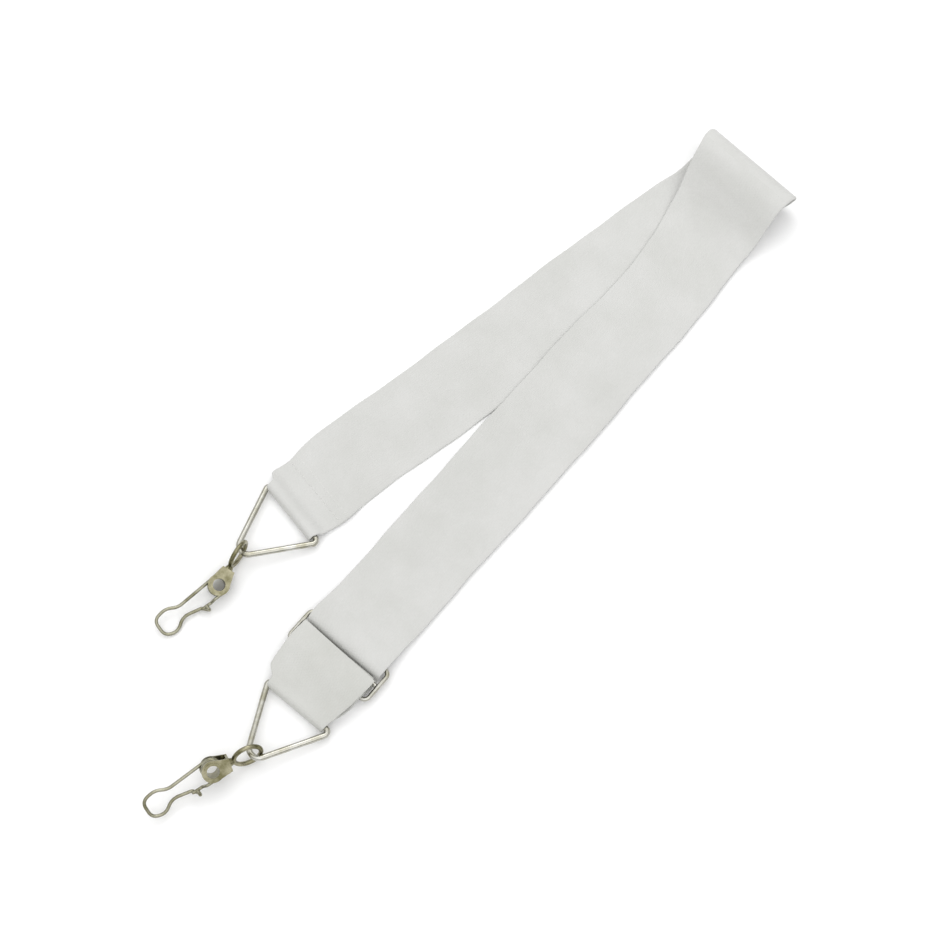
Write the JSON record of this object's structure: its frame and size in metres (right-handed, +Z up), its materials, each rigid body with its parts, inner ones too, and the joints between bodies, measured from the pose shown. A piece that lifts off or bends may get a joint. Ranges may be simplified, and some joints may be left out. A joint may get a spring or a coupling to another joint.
{
  "type": "webbing carrying sling with snap hooks",
  "caption": "Folded flat webbing sling with a triangular wire ring and a swivel snap hook at each end, and a wire slide to set its length.",
  "frame": {"origin": "on the underside of the right leg, on the flat face that the sling rests on", "axes": "+Z up from that face, +Y from the hooks to the fold, +X to the right leg side"},
  "size_m": [0.1288, 0.482, 0.0206],
  "materials": {
    "webbing": "woven, matte",
    "thread": "twisted sewing thread",
    "nickel": "nickel plated, satin",
    "brass_nickel": "warm nickel plate, slightly worn",
    "spring_wire": "nickel plated spring wire"
  },
  "bodies": {
    "left_leg": {"left_webbing": "webbing", "left_hem": "webbing", "left_stitching": "thread"},
    "fold_lower": {"fold_webbing_lower": "webbing"},
    "fold_upper": {"fold_webbing_upper": "webbing"},
    "right_leg": {"right_webbing": "webbing"},
    "adjuster": {"slide_frame": "nickel", "slide_bar": "nickel", "end_wrap": "webbing"},
    "right_loop": {"loop_webbing": "webbing"},
    "left_ring": {"left_triangle_ring": "nickel"},
    "left_eye": {"left_swivel_eye": "brass_nickel", "left_swivel_washer": "brass_nickel"},
    "left_bracket": {"left_hook_bracket": "brass_nickel", "left_hollow_rivet": "brass_nickel"},
    "left_hook": {"left_hook_wire": "spring_wire"},
    "left_gate": {"left_gate_arm": "spring_wire"},
    "right_ring": {"right_triangle_ring": "nickel"},
    "right_eye": {"right_swivel_eye": "brass_nickel", "right_swivel_washer": "brass_nickel"},
    "right_bracket": {"right_hook_bracket": "brass_nickel", "right_hollow_rivet": "brass_nickel"},
    "right_hook": {"right_hook_wire": "spring_wire"},
    "right_gate": {"right_gate_arm": "spring_wire"}
  },
  "joints": [
    {"name": "fold_open", "type": "hinge", "parent": "left_leg", "child": "fold_lower", "pos_m": [-0.015, 0.2332, 0.00194], "axis": [-1, 0, 0], "range_deg": [0, 60]},
    {"name": "fold_open_middle", "type": "hinge", "parent": "fold_lower", "child": "fold_upper", "pos_m": [-0.015, 0.238, 0.01025], "axis": [-1, 0, 0], "range_deg": [0, 60]},
    {"name": "fold_open_upper", "type": "hinge", "parent": "fold_upper", "child": "right_leg", "pos_m": [-0.015, 0.2332, 0.01856], "axis": [-1, 0, 0], "range_deg": [0, 60]},
    {"name": "slide_shorten", "type": "slide", "parent": "right_leg", "child": "adjuster", "axis": [-0.0872, 0.9962, 0], "range_m": [0, 0.1], "deforming": ["right_webbing", "loop_webbing"]},
    {"name": "loop_follow", "type": "slide", "parent": "adjuster", "child": "right_loop", "axis": [0.0872, -0.9962, 0], "range_m": [0, 0.05], "deforming": ["loop_webbing", "right_webbing"]},
    {"name": "left_ring_swing", "type": "hinge", "parent": "left_leg", "child": "left_ring", "pos_m": [-0.0497, -0.0834, 0.0034], "axis": [-0.9959, 0.0906, 0], "range_deg": [-90, 105]},
    {"name": "left_eye_swing", "type": "hinge", "parent": "left_ring", "child": "left_eye", "pos_m": [-0.05284, -0.1179, 0.00668], "axis": [-0.9687, -0.2459, 0.0346], "range_deg": [-75, 60]},
    {"name": "left_swivel", "type": "hinge", "parent": "left_eye", "child": "left_bracket", "pos_m": [-0.04763, -0.13853, 0.006], "axis": [-0.2401, 0.9631, 0.1219], "continuous": true},
    {"name": "left_hook_tilt", "type": "hinge", "parent": "left_bracket", "child": "left_hook", "pos_m": [-0.04763, -0.13853, 0.006], "axis": [0.3119, -0.0424, 0.9492], "range_deg": [-58, 102]},
    {"name": "left_gate_open", "type": "hinge", "parent": "left_hook", "child": "left_gate", "pos_m": [-0.04763, -0.13853, 0.006], "axis": [-0.3119, 0.0424, -0.9492], "range_deg": [0, 14], "stiffness_Nm_per_rad": 0.08, "springref_deg": -11.46},
    {"name": "right_ring_swing", "type": "hinge", "parent": "right_loop", "child": "right_ring", "pos_m": [0.028, -0.1522, 0.0034], "axis": [-0.9976, -0.0698, 0], "range_deg": [-90, 105]},
    {"name": "right_eye_swing", "type": "hinge", "parent": "right_ring", "child": "right_eye", "pos_m": [0.03042, -0.18676, 0.00668], "axis": [-0.9032, 0.33, -0.2746], "range_deg": [-75, 60]},
    {"name": "right_swivel", "type": "hinge", "parent": "right_eye", "child": "right_bracket", "pos_m": [0.02224, -0.20606, 0.01037], "axis": [0.3651, 0.9269, -0.0872], "continuous": true},
    {"name": "right_hook_tilt", "type": "hinge", "parent": "right_bracket", "child": "right_hook", "pos_m": [0.02224, -0.20606, 0.01037], "axis": [0.5201, -0.1254, 0.8448], "range_deg": [-92, 68]},
    {"name": "right_gate_open", "type": "hinge", "parent": "right_hook", "child": "right_gate", "pos_m": [0.02224, -0.20606, 0.01037], "axis": [-0.5201, 0.1254, -0.8448], "range_deg": [0, 14], "stiffness_Nm_per_rad": 0.08, "springref_deg": -11.46}
  ],
  "couplings": [
    {"joint": "fold_open_middle", "follows": "fold_open", "ratio": 1},
    {"joint": "fold_open_upper", "follows": "fold_open", "ratio": 1},
    {"joint": "loop_follow", "follows": "slide_shorten", "ratio": 0.5}
  ]
}
